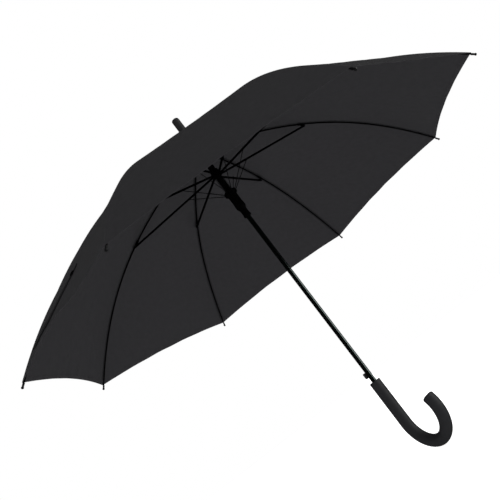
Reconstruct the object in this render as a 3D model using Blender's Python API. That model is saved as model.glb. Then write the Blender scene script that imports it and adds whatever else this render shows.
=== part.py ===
"""Automatic golf umbrella: crook handle, steel shaft, eight ribs, two runners and the spring between them.

Metres, +Z up. The origin is on the shaft's axis at the level of the crook's lowest point, and +X points
to the hook. The umbrella stands open. Ribs are counted from 1, anticlockwise seen from above.
"""

import math

import bmesh
import bpy
from mathutils import Matrix, Vector

# Canopy and ribs
RIB_COUNT = 8
RIB_STEP = 2 * math.pi / RIB_COUNT
RIB_PHASE = math.radians(-9)  # the last rib's azimuth, measured from the crook's plane
RIM_RADIUS = 0.600  # shaft axis to a corner of the fabric
RIM_HEIGHT = 0.5847  # level of the fabric's corners
DOME_RISE = 0.285  # rim corners to the top of the dome
DOME_CONE_SHARE = 0.347  # part of the rise that a plain cone would give; the rest goes with the radius cubed
FABRIC = 0.001
FABRIC_OFFSET = 0.0029  # rib centre line to the fabric's underside
FABRIC_GAP = 0.0002  # half the gap between neighbouring panels
FABRIC_HOLE = 0.020
SCALLOP = 0.0155  # how far the rim draws in between two ribs, as a share of the rim radius
SAG = 0.0045  # how far the fabric hollows between two ribs, as a share of the local radius
RIB_WIRE = 0.00175
TIP_WIRE = 0.0012
CROWN_PIVOT_RADIUS = 0.0125
BRACKET_RADIUS = 0.291
BRACKET_DROP = 0.003  # rib centre line to the stretcher's outer pivot
TIP_LENGTH = 0.012

# Runners, stretchers and links
UPPER_LEVEL = RIM_HEIGHT + 0.2004
UPPER_PIVOT_RADIUS = 0.0115
LOWER_LEVEL = RIM_HEIGHT + 0.1423
LOWER_PIVOT_RADIUS = 0.0135
STRETCHER_SIDE = 0.0043  # how far a stretcher lies beside its rib
STRETCHER_HALF_WIDTH = 0.0019
STRETCHER_HALF_HEIGHT = 0.0022
STRETCHER_WALL = 0.0007
LINK_REACH = 0.084  # upper runner pivot to the link's pivot, along the stretcher
LINK_WIRE = 0.0009
CLOSED_BRACKET_RADIUS = 0.026
UPPER_TUBE = 0.0073
SPRING_MEAN = 0.0094
SPRING_WIRE = 0.0007
SPRING_TURNS = 20
POCKET_DEPTH = 0.040  # lower pivot to the floor of the spring's pocket
LIP_TOP = 0.0695  # lower pivot to the top of the lip that the catch holds
SLEEVE_END = 0.0715  # lower pivot to the end of the sleeve

# Shaft, handle, ferrule and release button
SHAFT = 0.0058
SHAFT_WALL = 0.0008
SHAFT_BOTTOM = 0.1257
SHAFT_TOP = 0.9147
RUNNING_GAP = 0.0003
HANDLE = 0.0132
HANDLE_TOP = 0.1821
CROOK_RADIUS = 0.0605
CROOK_SWEEP = math.radians(198)
CROOK_TAIL = 0.004
FERRULE = 0.0100
FERRULE_TOP = 0.9677
BUTTON_LEVEL = 0.2017
MILLIMETRE = 0.001


def dome(radius):
    """Height of a rib's centre line at this distance from the shaft's axis."""
    share = radius / RIM_RADIUS
    fall = DOME_CONE_SHARE * share + (1 - DOME_CONE_SHARE) * share**3
    return RIM_HEIGHT + DOME_RISE * (1 - fall)


def dome_slope(radius):
    """How steeply the rib falls there, as a positive number."""
    share = radius / RIM_RADIUS
    return DOME_RISE / RIM_RADIUS * (DOME_CONE_SHARE + 3 * (1 - DOME_CONE_SHARE) * share**2)


CROWN_LEVEL = dome(CROWN_PIVOT_RADIUS)
BRACKET_LEVEL = dome(BRACKET_RADIUS)


def closed_lower_level():
    """Level of the lower runner's pivots with the umbrella folded."""
    drop = CROWN_LEVEL - (BRACKET_LEVEL - BRACKET_DROP)
    reach = math.hypot(BRACKET_RADIUS - CROWN_PIVOT_RADIUS, drop)
    swing = CLOSED_BRACKET_RADIUS - CROWN_PIVOT_RADIUS
    bracket = CROWN_LEVEL - math.sqrt(reach**2 - swing**2)
    span = CLOSED_BRACKET_RADIUS - UPPER_PIVOT_RADIUS
    length = stretcher_direction().length
    upper = bracket - math.sqrt(length**2 - span**2)
    lean = span / length
    pivot = Vector((UPPER_PIVOT_RADIUS + LINK_REACH * lean, upper + LINK_REACH * math.cos(lean)))
    fall = math.sqrt(link_direction().length ** 2 - (pivot.x - LOWER_PIVOT_RADIUS) ** 2)
    return pivot.y - fall


def stretcher_direction():
    """From the upper runner's pivot to the bracket's, as (radius, height)."""
    run = BRACKET_RADIUS - UPPER_PIVOT_RADIUS
    return Vector((run, BRACKET_LEVEL - BRACKET_DROP - UPPER_LEVEL))


def link_pivot():
    """Where the link meets the stretcher, as (radius, height)."""
    start = Vector((UPPER_PIVOT_RADIUS, UPPER_LEVEL))
    return start + stretcher_direction().normalized() * LINK_REACH


def link_direction():
    """From the stretcher to the lower runner's pivot, as (radius, height)."""
    return Vector((LOWER_PIVOT_RADIUS, LOWER_LEVEL)) - link_pivot()


# Mesh tools


def finished(bm, name, sharp=40):
    """A mesh from bm, its faces turned outwards, smooth except at edges sharper than this angle."""
    bmesh.ops.remove_doubles(bm, verts=bm.verts, dist=1e-7)
    bmesh.ops.recalc_face_normals(bm, faces=bm.faces)
    mesh = bpy.data.meshes.new(name)
    bm.to_mesh(mesh)
    bm.free()
    smooth(mesh, sharp)
    return mesh


def smooth(mesh, sharp=40):
    mesh.shade_smooth()
    mesh.set_sharp_from_angle(angle=math.radians(sharp))


def skin(bm, rings, closed=False):
    """Quads between rings of points, in order."""
    pairs = list(zip(rings, rings[1:]))
    if closed:
        pairs.append((rings[-1], rings[0]))
    for first, second in pairs:
        for i in range(max(len(first), len(second))):
            j = i + 1
            corners = [first[i % len(first)], first[j % len(first)]]
            corners += [second[j % len(second)], second[i % len(second)]]
            corners = list(dict.fromkeys(corners))
            if len(corners) > 2:
                bm.faces.new(corners)


def lathe(name, outline, segments=24):
    """A closed outline of (radius, height) turned about Z."""
    bm = bmesh.new()
    rings = []
    for radius, height in outline:
        count = segments if radius else 1
        turns = [2 * math.pi * i / segments for i in range(count)]
        rings.append([bm.verts.new((radius * math.cos(a), radius * math.sin(a), height)) for a in turns])
    skin(bm, rings, closed=True)
    return finished(bm, name)


def sweep(name, stations, outline, sharp=40):
    """The outline carried along a path. A station is (centre, side, up, scale)."""
    bm = bmesh.new()
    rings = []
    for centre, side, up, scale in stations:
        rings.append([bm.verts.new(centre + (side * a + up * b) * scale) for a, b in outline])
    skin(bm, rings)
    bm.faces.new(rings[0])
    bm.faces.new(rings[-1])
    return finished(bm, name, sharp)


def flat_path(points, scales=None):
    """Stations along (x, z) points in the XZ plane, each with a scale."""
    scales = scales or [1] * len(points)
    spots = [Vector((x, 0, z)) for x, z in points]
    stations = []
    for i, spot in enumerate(spots):
        along = (spots[min(i + 1, len(spots) - 1)] - spots[max(i - 1, 0)]).normalized()
        stations.append((spot, Vector((0, 1, 0)), along.cross(Vector((0, 1, 0))), scales[i]))
    return stations


def circle(radius, sides):
    turns = [2 * math.pi * (i + 0.5) / sides for i in range(sides)]
    return [(radius * math.cos(a), radius * math.sin(a)) for a in turns]


def block(low, high):
    """A box between two corners."""
    bm = bmesh.new()
    bmesh.ops.create_cube(bm, size=1)
    low = Vector(low)
    high = Vector(high)
    for vert in bm.verts:
        vert.co = Vector(low[i] + (vert.co[i] + 0.5) * (high[i] - low[i]) for i in range(3))
    return finished(bm, "block")


def side_disc(x, z, radius, side_from, side_to, sides=12):
    """A disc in the XZ plane, as thick as from one side coordinate to the other."""
    bm = bmesh.new()
    rings = []
    for y in (side_from, side_to):
        rings.append([bm.verts.new((x + a, y, z + b)) for a, b in circle(radius, sides)])
    skin(bm, rings)
    bm.faces.new(rings[0])
    bm.faces.new(rings[1])
    return finished(bm, "disc")


def boolean(base, operation, *tools):
    """The mesh after each tool is joined to the base or cut from it."""
    scene = bpy.context.scene.collection
    for tool in tools:
        body = bpy.data.objects.new("body", base)
        helper = bpy.data.objects.new("helper", tool)
        scene.objects.link(body)
        scene.objects.link(helper)
        modifier = body.modifiers.new("Boolean", "BOOLEAN")
        modifier.operation = operation
        modifier.solver = "EXACT"
        modifier.object = helper
        graph = bpy.context.evaluated_depsgraph_get()
        base = bpy.data.meshes.new_from_object(body.evaluated_get(graph))
        bpy.data.objects.remove(body)
        bpy.data.objects.remove(helper)
    smooth(base)
    return base


def around(piece, count=RIB_COUNT, phase=RIB_PHASE):
    """One mesh that holds the piece once at each rib's azimuth, for use as a cutter."""
    bm = bmesh.new()
    for i in range(count):
        copy = piece.copy()
        copy.transform(Matrix.Rotation(phase + i * RIB_STEP, 4, "Z"))
        bm.from_mesh(copy)
    mesh = bpy.data.meshes.new("cutters")
    bm.to_mesh(mesh)
    bm.free()
    return mesh


def material(name, colour, roughness, metallic=0.0):
    made = bpy.data.materials.new(name)
    made.use_nodes = True
    shader = made.node_tree.nodes["Principled BSDF"]
    shader.inputs["Base Color"].default_value = (*colour, 1)
    shader.inputs["Roughness"].default_value = roughness
    shader.inputs["Metallic"].default_value = metallic
    return made


def add(name, mesh, finish, location=(0, 0, 0), azimuth=0.0):
    made = bpy.data.objects.new(name, mesh)
    made.location = location
    made.rotation_euler = (0, 0, azimuth)
    if not mesh.materials:
        mesh.materials.append(material(mesh.name, *finish))
    bpy.context.scene.collection.objects.link(made)
    return made


def add_at_ribs(name, mesh, finish, radius, level):
    """A copy of the mesh at each rib, its origin on the pivot at this radius and level."""
    for number in range(1, RIB_COUNT + 1):
        azimuth = RIB_PHASE + number * RIB_STEP
        place = (radius * math.cos(azimuth), radius * math.sin(azimuth), level)
        add(f"{name}_{number}", mesh, finish, place, azimuth)


# Finishes: colour, roughness, metallic
GLOSS_BLACK = ((0.006, 0.008, 0.007), 0.18, 0.6)
FRAME_BLACK = ((0.006, 0.006, 0.007), 0.35, 0.7)
NYLON_BLACK = ((0.008, 0.008, 0.009), 0.45)
SOFT_BLACK = ((0.028, 0.029, 0.032), 0.75)
FABRIC_BLACK = ((0.026, 0.026, 0.028), 0.85)
SPRING_STEEL = ((0.05, 0.05, 0.055), 0.35, 0.9)


# Fixed pieces


def add_shaft():
    tube = lathe(
        "shaft",
        [
            (SHAFT - SHAFT_WALL, SHAFT_BOTTOM),
            (SHAFT, SHAFT_BOTTOM),
            (SHAFT, SHAFT_TOP),
            (SHAFT - SHAFT_WALL, SHAFT_TOP),
        ],
    )
    pin_hole = side_disc(0, stop_pin_level(), 0.0015, -0.02, 0.02)
    catch_slot = block((-0.010, -0.0023, BUTTON_LEVEL - 0.007), (-0.0015, 0.0023, nose_level() + 0.0045))
    add("shaft", boolean(tube, "DIFFERENCE", pin_hole, catch_slot), GLOSS_BLACK)


def stop_pin_level():
    return UPPER_LEVEL + 0.0286


def add_stop_pin():
    pin = side_disc(0, 0, 0.0012, -0.008, 0.008, 14)
    add("stop_pin", pin, SPRING_STEEL, (0, 0, stop_pin_level()))


def add_handle():
    """Straight grip, then the bend, then a short straight tail with a domed end."""
    bend_level = CROOK_RADIUS + HANDLE
    points = [(0, HANDLE_TOP), (0, HANDLE_TOP - MILLIMETRE), (0, bend_level + 0.035)]
    scales = [1 - MILLIMETRE / HANDLE, 1, 1]
    bend_steps = 22
    for i in range(bend_steps + 1):
        turn = CROOK_SWEEP * i / bend_steps
        points.append((CROOK_RADIUS * (1 - math.cos(turn)), bend_level - CROOK_RADIUS * math.sin(turn)))
        scales.append(1)
    along = Vector((math.sin(CROOK_SWEEP), -math.cos(CROOK_SWEEP)))
    end = Vector(points[-1])
    for distance, scale in ((CROOK_TAIL, 1), (CROOK_TAIL + 0.0025, 0.93), (CROOK_TAIL + 0.0042, 0.72)):
        points.append(tuple(end + along * distance))
        scales.append(scale)
    grip = sweep("handle", flat_path(points, scales), circle(HANDLE, 16), 50)
    bore_radius = SHAFT + RUNNING_GAP
    bore = lathe(
        "bore",
        [
            (0, SHAFT_BOTTOM - MILLIMETRE),
            (bore_radius, SHAFT_BOTTOM - MILLIMETRE),
            (bore_radius, HANDLE_TOP + 0.01),
            (0, HANDLE_TOP + 0.01),
        ],
    )
    add("handle", boolean(grip, "DIFFERENCE", bore), SOFT_BLACK)


def add_ferrule():
    bore = SHAFT + RUNNING_GAP
    base = dome(0) + 0.0058
    outline = [
        (bore, base),
        (0.0124, base),
        (0.0124, base + 0.004),
        (FERRULE + 0.0006, base + 0.007),
        (FERRULE, base + 0.020),
        (FERRULE - 0.0004, FERRULE_TOP - 0.006),
        (FERRULE - 0.0014, FERRULE_TOP - 0.002),
        (FERRULE - 0.0035, FERRULE_TOP),
        (0, FERRULE_TOP),
        (0, SHAFT_TOP + RUNNING_GAP),
        (bore, SHAFT_TOP + RUNNING_GAP),
    ]
    add("ferrule", lathe("ferrule", outline), NYLON_BLACK)


def add_canopy_cap():
    bore = SHAFT + RUNNING_GAP
    edge = 0.026
    under = FABRIC_OFFSET + FABRIC + 0.0006
    over = under + 0.0012
    outline = [
        (bore, dome(0) + under),
        (edge, dome(edge) + under),
        (edge, dome(edge) + over - 0.0004),
        (edge - 0.002, dome(edge) + over),
        (bore, dome(0) + over),
    ]
    add("canopy_cap", lathe("canopy_cap", outline), FABRIC_BLACK)


def add_crown():
    """Notched disc with a groove for the wire that the ribs hang on."""
    bore = SHAFT + RUNNING_GAP
    groove = 0.0007
    outline = [
        (bore, -0.016),
        (0.0072, -0.016),
        (0.0078, -0.006),
        (0.0145, -0.0045),
        (0.0152, -0.003),
        (0.0152, 0.0035),
        (CROWN_PIVOT_RADIUS + groove, 0.0035),
        (CROWN_PIVOT_RADIUS + groove, -groove),
        (CROWN_PIVOT_RADIUS - groove, -groove),
        (CROWN_PIVOT_RADIUS - groove, 0.0035),
        (bore, 0.0035),
    ]
    half_slot = RIB_WIRE + 0.0005
    slot = block((CROWN_PIVOT_RADIUS - 0.0033, -half_slot, -0.02), (0.03, half_slot, 0.02))
    crown = boolean(lathe("crown", outline, 32), "DIFFERENCE", around(slot))
    crown.name = "crown"
    add("crown", crown, NYLON_BLACK, (0, 0, CROWN_LEVEL))
    wire = lathe("crown_wire", [(CROWN_PIVOT_RADIUS + a, b) for a, b in circle(0.0005, 5)], 24)
    add("crown_wire", wire, SPRING_STEEL, (0, 0, CROWN_LEVEL))


# Ribs and their tips


def add_inner_ribs():
    """Rod from the crown to the bracket, with an eye at the crown and the bracket's ear at its far end."""
    eye = 0.0026
    start = 0.0018
    bracket = 0.016
    steps = 6
    end = BRACKET_RADIUS - 0.0022
    first = CROWN_PIVOT_RADIUS + start
    radii = [first + (end - bracket - first) * i / steps for i in range(steps + 1)]
    scales = [1] * len(radii)
    radii += [end - bracket + 0.0006, end - 0.0006, end]
    scales += [1.25, 1.25, 1.1]
    points = [(r - CROWN_PIVOT_RADIUS, dome(r) - CROWN_LEVEL) for r in radii]
    rod = sweep("rib_inner", flat_path(points, scales), circle(RIB_WIRE, 6))
    ring = side_disc(0, 0, eye, -0.0012, 0.0012, 10)
    centre = BRACKET_RADIUS - CROWN_PIVOT_RADIUS
    ear_level = BRACKET_LEVEL - CROWN_LEVEL
    half = 0.0016
    ear = block((centre - 0.010, -half, ear_level - 0.0055), (centre - 0.0028, half, ear_level + 0.0015))
    hole = side_disc(0, 0, 0.0011, -0.01, 0.01, 8)
    rib = boolean(boolean(rod, "UNION", ring, ear), "DIFFERENCE", hole)
    rib.name = "rib_inner"
    add_at_ribs("rib_inner", rib, FRAME_BLACK, CROWN_PIVOT_RADIUS, CROWN_LEVEL)


def add_outer_ribs():
    """Rod from the bracket to the tip, thinner towards the tip, with a round inner end."""
    ball = 0.0018
    steps = 10
    far = RIM_RADIUS + 0.003
    radii = [BRACKET_RADIUS - 0.8 * ball, BRACKET_RADIUS]
    scales = [0.6, 1]
    for i in range(1, steps + 1):
        radii.append(BRACKET_RADIUS + (far - BRACKET_RADIUS) * i / steps)
        scales.append(1 - (1 - TIP_WIRE / RIB_WIRE) * i / steps)
    points = [(r - BRACKET_RADIUS, rib_level(r) - BRACKET_LEVEL) for r in radii]
    rod = sweep("rib_outer", flat_path(points, scales), circle(RIB_WIRE, 6))
    add_at_ribs("rib_outer", rod, FRAME_BLACK, BRACKET_RADIUS, BRACKET_LEVEL)


def rib_level(radius):
    """The dome's height, running on straight beyond the fabric's corner."""
    beyond = max(0, radius - RIM_RADIUS)
    return dome(radius - beyond) - beyond * dome_slope(RIM_RADIUS)


def add_rib_tips():
    """A cup over the end of each outer rib, along the rib's last direction."""
    bore = TIP_WIRE + 0.0003
    outline = [
        (bore, 0),
        (0.0024, 0),
        (0.0022, 0.0080),
        (0.0030, 0.0090),
        (0.0030, TIP_LENGTH - 0.001),
        (0.0018, TIP_LENGTH),
        (0, TIP_LENGTH),
        (0, 0.006),
        (bore, 0.006),
    ]
    cup = lathe("rib_tip", outline, 8)
    cup.transform(Matrix.Rotation(math.pi / 2 + math.atan(dome_slope(RIM_RADIUS)), 4, "Y"))
    add_at_ribs("rib_tip", cup, NYLON_BLACK, RIM_RADIUS, RIM_HEIGHT)


# Stretchers and links


def add_stretchers():
    """Steel channel, open downwards, with a round end at each pivot and a hole for its link."""
    direction = stretcher_direction()
    length = direction.length
    wide = STRETCHER_HALF_WIDTH
    tall = STRETCHER_HALF_HEIGHT
    inner = wide - STRETCHER_WALL
    roof = tall - STRETCHER_WALL
    channel = [(-wide, -tall), (-wide, tall), (wide, tall), (wide, -tall)]
    channel += [(inner, -tall), (inner, roof), (-inner, roof), (-inner, -tall)]
    bar = sweep("stretcher", flat_path([(0.0012, 0), (length - 0.0015, 0)]), channel, 20)
    near_end = side_disc(0, 0, tall, -wide, wide, 10)
    far_end = side_disc(length, 0, 0.003, -wide, wide, 10)
    rivet = side_disc(length, 0, 0.0016, -wide - 0.0004, -wide + 0.0005, 8)
    hole = side_disc(LINK_REACH, 0, 0.0012, -0.01, 0, 8)
    piece = boolean(boolean(bar, "UNION", near_end, far_end, rivet), "DIFFERENCE", hole)
    piece.name = "stretcher"
    piece.transform(Matrix.Translation((0, STRETCHER_SIDE, 0)))
    piece.transform(Matrix.Rotation(-math.atan2(direction.y, direction.x), 4, "Y"))
    add_at_ribs("stretcher", piece, FRAME_BLACK, UPPER_PIVOT_RADIUS, UPPER_LEVEL)


def add_links():
    """Thin rod from the stretcher down to the lower runner, with a stub that turns in the stretcher."""
    direction = link_direction()
    rod = sweep("link", flat_path([(0, 0), tuple(direction)]), circle(LINK_WIRE, 6))
    lower_end = side_disc(direction.x, direction.y, 0.0016, -LINK_WIRE, LINK_WIRE, 8)
    upper_end = side_disc(0, 0, 0.0016, -LINK_WIRE, LINK_WIRE, 8)
    stub = side_disc(0, 0, 0.0008, 0, STRETCHER_SIDE, 6)
    piece = boolean(rod, "UNION", lower_end, upper_end, stub)
    piece.name = "link"
    place = link_pivot()
    add_at_ribs("link", piece, SPRING_STEEL, place.x, place.y)


# Runners, spring, catch


def add_upper_runner():
    """Notched hub on a tube that slides on the shaft and guides the lower runner and the spring."""
    bore = SHAFT + RUNNING_GAP
    outline = [
        (bore, -0.084),
        (UPPER_TUBE, -0.084),
        (UPPER_TUBE, -0.0065),
        (0.0100, -0.0060),
        (0.0140, -0.0048),
        (0.0144, -0.0035),
        (0.0144, 0.0035),
        (0.0140, 0.0048),
        (0.0112, 0.0062),
        (0.0110, 0.0128),
        (0.0095, 0.0140),
        (UPPER_TUBE, 0.0150),
        (UPPER_TUBE, 0.0235),
        (0.0083, 0.0240),
        (0.0083, 0.0262),
        (0.0077, 0.0268),
        (bore, 0.0268),
    ]
    clear = STRETCHER_HALF_WIDTH + 0.0004
    slot_floor = UPPER_PIVOT_RADIUS - 0.0028
    slot = block((slot_floor, STRETCHER_SIDE - clear, -0.007), (0.03, STRETCHER_SIDE + clear, 0.0155))
    link_slot = block((0.0123, -0.0014, -0.008), (0.03, STRETCHER_SIDE, 0.009))
    hub = boolean(lathe("upper_runner", outline, 32), "DIFFERENCE", around(slot), around(link_slot))
    hub.name = "upper_runner"
    add("upper_runner", hub, NYLON_BLACK, (0, 0, UPPER_LEVEL))


def add_lower_runner():
    """Slotted flange on a sleeve that holds the spring's lower half. The sleeve's lip hooks on the catch."""
    pocket = SPRING_MEAN + SPRING_WIRE + 0.00045
    guide = UPPER_TUBE + 0.0004
    lip = SHAFT + 0.0005
    outline = [
        (pocket, 0.0070),
        (pocket, -POCKET_DEPTH),
        (guide, -POCKET_DEPTH),
        (guide, -LIP_TOP),
        (lip, -LIP_TOP),
        (lip, -SLEEVE_END),
        (0.0091, -SLEEVE_END),
        (0.0096, -0.0707),
        (0.0096, -0.0665),
        (0.0087, -0.0650),
        (0.0087, -0.0520),
        (0.0105, -0.0475),
        (0.0122, -0.0440),
        (0.0124, -0.0370),
        (0.0118, -0.0310),
        (0.0118, -0.0080),
        (0.0130, -0.0055),
        (0.0165, -0.0040),
        (0.0165, 0.0035),
        (0.0140, 0.0055),
        (0.0120, 0.0070),
    ]
    slot = block((LOWER_PIVOT_RADIUS - 0.0022, -0.0014, -0.009), (0.03, 0.0014, 0.009))
    sleeve = boolean(lathe("lower_runner", outline, 32), "DIFFERENCE", around(slot))
    sleeve.name = "lower_runner"
    add("lower_runner", sleeve, NYLON_BLACK, (0, 0, LOWER_LEVEL))


def coil(name, mean, wire, turns, length, per_turn, sides):
    """A coil spring about Z from 0 to its length, as one closed tube."""
    steps = turns * per_turn
    rise = length - 2 * wire
    stations = []
    for i in range(steps + 1):
        angle = 2 * math.pi * i / per_turn
        outward = Vector((math.cos(angle), math.sin(angle), 0))
        centre = outward * mean + Vector((0, 0, wire + rise * i / steps))
        stations.append((centre, outward, Vector((0, 0, 1)), 1))
    return sweep(name, stations, circle(wire, sides), 60)


def add_opening_spring():
    top = UPPER_LEVEL - 0.0070
    floor = LOWER_LEVEL - POCKET_DEPTH + 0.0004
    spring = coil("opening_spring", SPRING_MEAN, SPRING_WIRE, SPRING_TURNS, top - floor, 10, 4)
    add("opening_spring", spring, SPRING_STEEL, (0, 0, floor))


def nose_level():
    """Underside of the catch: just above the lower runner's lip with the umbrella folded."""
    return closed_lower_level() - LIP_TOP + 0.0004


def add_release_button():
    """Press block outside the shaft, with a bar inside that carries the catch's nose."""
    half = 0.0018
    head = block((-0.0160, -0.0045, -0.0072), (-0.0086, 0.0045, 0.0062))
    neck = block((-0.0096, -half, -0.0050), (-0.0020, half, 0.0045))
    nose = nose_level() - BUTTON_LEVEL
    bar = block((-0.0038, -half, -0.0050), (-0.0018, half, nose + 0.0028))
    catch = block((-0.0072, -half, nose), (-0.0020, half, nose + 0.0028))
    bm = bmesh.new()
    bm.from_mesh(head)
    bmesh.ops.bevel(bm, geom=bm.edges[:], offset=0.0010, segments=2, profile=0.5, affect="EDGES")
    button = boolean(finished(bm, "release_button"), "UNION", neck, bar, catch)
    button.name = "release_button"
    add("release_button", button, NYLON_BLACK, (0, 0, BUTTON_LEVEL))


def add_latch_spring():
    """Small coil inside the shaft that pushes the button out."""
    spring = coil("latch_spring", 0.0014, 0.00025, 4, 0.0059, 8, 4)
    spring.transform(Matrix.Rotation(math.pi / 2, 4, "Y"))
    add("latch_spring", spring, SPRING_STEEL, (-0.0014, 0, BUTTON_LEVEL))


# Canopy


def canopy_point(radius, across, height):
    """A point of the fabric beside the rib at azimuth 0.

    radius runs along the rib, and across goes from 0 at the rib to 1 or -1 midway to its neighbour.
    height is the distance above the rib's centre line, square to the dome.
    """
    share = abs(across)
    hollow = 1 - (1 - share) ** 2
    reach = FABRIC_HOLE + (radius - FABRIC_HOLE) * (1 - SCALLOP * hollow)
    slope = dome_slope(reach)
    lift = (height - SAG * reach * hollow) / math.hypot(1, slope)
    ridge = Vector((reach + lift * slope, 0, dome(reach) + lift))
    side = math.copysign(RIB_STEP, across)
    neighbour = Matrix.Rotation(side, 3, "Z") @ ridge
    gap = FABRIC_GAP / (reach * math.sin(RIB_STEP / 2))
    return ridge.lerp(neighbour, min(share, 1 - gap) / 2)


def add_canopy_panels():
    """The fabric in eight parts, each centred on a rib and ending midway to the next."""
    along = 10
    half_across = 2
    bm = bmesh.new()
    layers = []
    for height in (FABRIC_OFFSET, FABRIC_OFFSET + FABRIC):
        layer = []
        for i in range(along + 1):
            radius = FABRIC_HOLE + (RIM_RADIUS - FABRIC_HOLE) * i / along
            shares = [j / half_across for j in range(-half_across, half_across + 1)]
            row = [canopy_point(radius, share, height) for share in shares]
            layer.append([bm.verts.new(point) for point in row])
        layers.append(layer)
    under, over = layers
    for i in range(along):
        for j in range(2 * half_across):
            for layer in layers:
                bm.faces.new([layer[i][j], layer[i][j + 1], layer[i + 1][j + 1], layer[i + 1][j]])
    border = [(0, j) for j in range(2 * half_across)] + [(i, 2 * half_across) for i in range(along)]
    border += [(along, j) for j in range(2 * half_across, 0, -1)] + [(i, 0) for i in range(along, 0, -1)]
    for (a, b), (c, d) in zip(border, border[1:] + border[:1]):
        bm.faces.new([under[a][b], under[c][d], over[c][d], over[a][b]])
    panel = finished(bm, "canopy_panel", 60)
    panel.transform(Matrix.Translation((-CROWN_PIVOT_RADIUS, 0, -CROWN_LEVEL)))
    add_at_ribs("canopy_panel", panel, FABRIC_BLACK, CROWN_PIVOT_RADIUS, CROWN_LEVEL)


def main():
    for old in list(bpy.data.objects):
        bpy.data.objects.remove(old)
    add_handle()
    add_shaft()
    add_stop_pin()
    add_ferrule()
    add_canopy_cap()
    add_crown()
    add_inner_ribs()
    add_outer_ribs()
    add_rib_tips()
    add_upper_runner()
    add_lower_runner()
    add_opening_spring()
    add_release_button()
    add_latch_spring()
    add_stretchers()
    add_links()
    add_canopy_panels()


main()
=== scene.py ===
"""Looks of the automatic golf umbrella: sewn canopy, lacquered frame, soft-touch crook handle, white studio.

Metres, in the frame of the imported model: +Z up, origin under the crook on the shaft's axis, +X to the hook.
"""

import math

import bmesh
import bpy
from mathutils import Matrix, Vector


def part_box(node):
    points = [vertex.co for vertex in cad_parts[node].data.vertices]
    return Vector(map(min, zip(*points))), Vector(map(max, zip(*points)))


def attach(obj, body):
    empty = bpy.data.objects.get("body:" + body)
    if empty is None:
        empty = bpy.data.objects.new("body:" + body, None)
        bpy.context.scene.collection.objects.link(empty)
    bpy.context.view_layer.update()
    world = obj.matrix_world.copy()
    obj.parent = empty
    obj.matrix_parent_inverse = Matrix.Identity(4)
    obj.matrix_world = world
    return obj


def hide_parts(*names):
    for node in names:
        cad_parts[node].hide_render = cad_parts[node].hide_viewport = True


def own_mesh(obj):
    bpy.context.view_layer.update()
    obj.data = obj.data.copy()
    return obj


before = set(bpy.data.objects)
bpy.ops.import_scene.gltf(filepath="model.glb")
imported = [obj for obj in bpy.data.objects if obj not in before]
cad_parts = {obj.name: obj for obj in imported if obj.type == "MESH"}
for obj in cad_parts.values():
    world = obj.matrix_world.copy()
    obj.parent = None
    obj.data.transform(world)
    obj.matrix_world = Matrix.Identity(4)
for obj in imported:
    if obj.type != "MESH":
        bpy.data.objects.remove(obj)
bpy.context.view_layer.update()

# Dome and ribs, as in the design
RIB_COUNT = 8
RIB_STEP = 2 * math.pi / RIB_COUNT
RIB_PHASE = math.radians(-9)
RIM_RADIUS = 0.600
RIM_HEIGHT = 0.5847
DOME_RISE = 0.285
DOME_CONE_SHARE = 0.347
SCALLOP = 0.0155
SAG = 0.0045
CROWN_PIVOT_RADIUS = 0.0125
BRACKET_RADIUS = 0.291
RIB_WIRE = 0.00175
TIP_WIRE = 0.0015

# Cloth
CLOTH_MIDDLE = 0.0034  # rib centre line to the middle of the cloth
CLOTH = 0.00036
HEM_WIDTH = 0.007
HEM_FOLD = 0.00045  # extra thickness of the hem, on the underside
CLOTH_HOLE = 0.020
TAPE_HALF_WIDTH = 0.0065
TAPE = 0.00034
BILLOW = 0.014  # how far the gore with the closing strap swells out
STRAP_GORE = 6
STRAP_RADIUS = 0.555  # distance along the rib at which the closing strap is sewn to its seam
STRAP_START = 0.03  # how far across the gore it starts
STRAP_END = 0.60
STRAP_WIDTH = 0.0138
STRAP = 0.0010

# Shaft, handle and ferrule
SHAFT = 0.0058
SHAFT_WALL = 0.0008
HANDLE = 0.0132
CROOK_RADIUS = 0.0605
CROOK_SWEEP = math.radians(198)
CROOK_TAIL = 0.004
FERRULE = 0.0100
RUNNING_GAP = 0.0003
BUTTON_LEVEL = 0.2017

# Runners, spring, stretchers and links
UPPER_LEVEL = RIM_HEIGHT + 0.2004
UPPER_PIVOT_RADIUS = 0.0115
LOWER_LEVEL = RIM_HEIGHT + 0.1423
LOWER_PIVOT_RADIUS = 0.0135
UPPER_TUBE = 0.0073
SPRING_MEAN = 0.0094
SPRING_WIRE = 0.0007
SPRING_TURNS = 20
POCKET_DEPTH = 0.040
LIP_TOP = 0.0695
SLEEVE_END = 0.0715
BRACKET_DROP = 0.003
STRETCHER_SIDE = 0.0043
STRETCHER_HALF_WIDTH = 0.0019
STRETCHER_HALF_HEIGHT = 0.0022
LINK_REACH = 0.084
LINK_WIRE = 0.0009


def dome(radius):
    """Height of a rib's centre line at this distance from the shaft's axis."""
    share = radius / RIM_RADIUS
    fall = DOME_CONE_SHARE * share + (1 - DOME_CONE_SHARE) * share**3
    return RIM_HEIGHT + DOME_RISE * (1 - fall)


def dome_slope(radius):
    share = radius / RIM_RADIUS
    return DOME_RISE / RIM_RADIUS * (DOME_CONE_SHARE + 3 * (1 - DOME_CONE_SHARE) * share**2)


def rib_level(radius):
    """The dome's height, running on straight beyond the fabric's corner."""
    beyond = max(0, radius - RIM_RADIUS)
    return dome(radius - beyond) - beyond * dome_slope(RIM_RADIUS)


def azimuth(number):
    return RIB_PHASE + number * RIB_STEP


def rib_after(number):
    return number % RIB_COUNT + 1


def rib_before(number):
    return (number - 2) % RIB_COUNT + 1


CROWN_LEVEL = dome(CROWN_PIVOT_RADIUS)
BRACKET_LEVEL = dome(BRACKET_RADIUS)


# Mesh tools


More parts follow.
